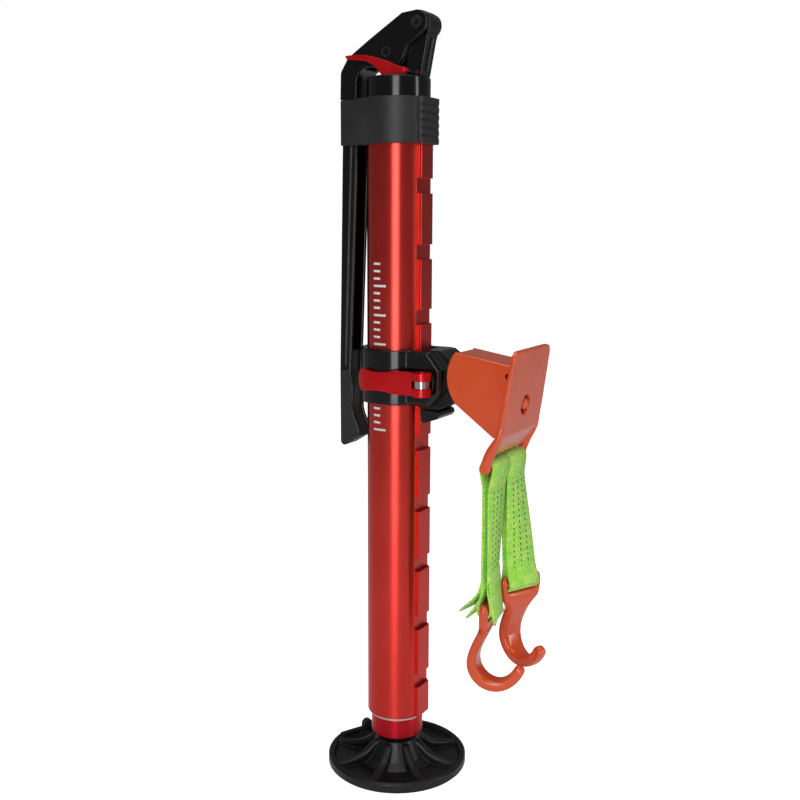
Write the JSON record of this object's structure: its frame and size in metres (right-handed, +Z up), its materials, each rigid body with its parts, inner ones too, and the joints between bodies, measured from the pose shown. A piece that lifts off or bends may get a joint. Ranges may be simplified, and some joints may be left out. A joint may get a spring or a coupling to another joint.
{
  "type": "toe jack",
  "caption": "Hydraulic toe jack with a notched barrel, clamp-on toe carriage, two strap hooks and a folding pump handle.",
  "frame": {"origin": "centre of the foot's flat underside, on the floor", "axes": "+Z up along the barrel, +X towards the toe and the rail, folded handle on -X"},
  "size_m": [0.2056, 0.128, 0.667],
  "materials": {
    "red_anodised": "satin",
    "bare_alloy": "satin",
    "black_paint": "gloss",
    "orange_paint": "satin",
    "red_paint": "gloss",
    "black_moulding": "satin",
    "black_steel": "satin",
    "chromed_steel": "polished",
    "plain_steel": "satin",
    "foot_casting": "satin",
    "seal_rubber": "matte",
    "bronze": "satin",
    "green_webbing": "woven"
  },
  "bodies": {
    "foot": {"foot_plate": "foot_casting", "seat_ring": "plain_steel"},
    "socket": {"ball_seat": "bronze"},
    "ram": {"ball_stud": "chromed_steel", "foot_cap": "red_anodised", "ram_tube": "chromed_steel", "ram_piston": "plain_steel", "piston_seal": "seal_rubber", "piston_guide": "bronze"},
    "body": {"barrel": "red_anodised", "gland_ring": "bare_alloy", "rod_wiper": "seal_rubber", "rod_seal": "seal_rubber", "pump_head": "black_paint", "head_seal": "seal_rubber", "pump_liner": "plain_steel", "valve_ball": "chromed_steel", "valve_spring": "plain_steel", "filler_plug": "seal_rubber", "handle_mast": "black_paint", "mast_pin": "black_steel", "pin_clips": "black_steel", "handle_clip": "black_moulding", "lever_spacer": "black_steel"},
    "release": {"release_lever": "red_paint", "lever_screw": "chromed_steel"},
    "handle": {"handle_head": "black_paint", "handle_bar": "black_paint", "handle_rivets": "black_steel", "handle_grip": "black_moulding", "drive_pin": "black_steel"},
    "plunger": {"pump_plunger": "chromed_steel", "plunger_seal": "seal_rubber"},
    "carriage": {"carriage_band": "black_paint", "carriage_block": "black_paint", "cam_washer": "black_steel", "tension_bolt": "black_steel", "bolt_nut": "black_steel", "latch_springs": "plain_steel"},
    "latch": {"latch_plate": "black_steel"},
    "cam": {"cam_lever": "red_paint", "cam_pin": "plain_steel"},
    "toe": {"toe_arm": "orange_paint", "toe_plate": "orange_paint", "toe_boss": "orange_paint", "boss_bracket": "orange_paint", "toe_hinge_pin": "plain_steel"},
    "left_web": {"left_strap": "green_webbing"},
    "right_web": {"right_strap": "green_webbing"},
    "left_grab": {"left_hook": "orange_paint"},
    "right_grab": {"right_hook": "orange_paint"}
  },
  "joints": [
    {"name": "foot_swivel", "type": "hinge", "parent": "foot", "child": "socket", "pos_m": [0, 0, 0.018], "axis": [0, 0, 1], "continuous": true},
    {"name": "foot_tilt", "type": "hinge", "parent": "socket", "child": "ram", "pos_m": [0, 0, 0.018], "axis": [0, 1, 0], "range_deg": [-8, 8]},
    {"name": "ram_slide", "type": "slide", "parent": "ram", "child": "body", "axis": [0, 0, 1], "range_m": [0, 0.4]},
    {"name": "release_turn", "type": "hinge", "parent": "body", "child": "release", "pos_m": [0.0144, -0.017, 0.6196], "axis": [0, 1, 0], "range_deg": [0, 25]},
    {"name": "handle_swing", "type": "hinge", "parent": "body", "child": "handle", "pos_m": [0.0237, 0, 0.657], "axis": [0, 1, 0], "range_deg": [0, 80]},
    {"name": "plunger_stroke", "type": "slide", "parent": "body", "child": "plunger", "axis": [0, 0, 1], "range_m": [0, 0.04608]},
    {"name": "carriage_slide", "type": "slide", "parent": "body", "child": "carriage", "axis": [0, 0, 1], "range_m": [-0.22, 0.11]},
    {"name": "latch_pull", "type": "slide", "parent": "carriage", "child": "latch", "axis": [1, 0, 0], "range_m": [0, 0.0039], "stiffness_N_per_m": 800, "springref_m": -0.004, "deforming": ["latch_springs"]},
    {"name": "cam_turn", "type": "hinge", "parent": "carriage", "child": "cam", "pos_m": [0.042, -0.0335, 0.364], "axis": [0, 0, 1], "range_deg": [0, 130]},
    {"name": "toe_tilt", "type": "hinge", "parent": "carriage", "child": "toe", "pos_m": [0.078, 0, 0.372], "axis": [0, 1, 0], "range_deg": [-15, 0]},
    {"name": "left_strap_swing", "type": "hinge", "parent": "toe", "child": "left_web", "pos_m": [0.10281, -0.0172, 0.29941], "axis": [0, 1, 0], "range_deg": [-70, 10]},
    {"name": "right_strap_swing", "type": "hinge", "parent": "toe", "child": "right_web", "pos_m": [0.10281, 0.0172, 0.29941], "axis": [0, 1, 0], "range_deg": [-70, 10]},
    {"name": "left_hook_swing", "type": "hinge", "parent": "left_web", "child": "left_grab", "pos_m": [0.102, -0.0226, 0.178], "axis": [-0.1908, 0.9816, 0], "range_deg": [-20, 12]},
    {"name": "right_hook_swing", "type": "hinge", "parent": "right_web", "child": "right_grab", "pos_m": [0.1125, 0.0195, 0.1885], "axis": [0.4384, 0.8988, 0], "range_deg": [-20, 12]}
  ],
  "couplings": [
    {"joint": "plunger_stroke", "follows": "handle_swing", "m_per_rad": 0.033}
  ]
}
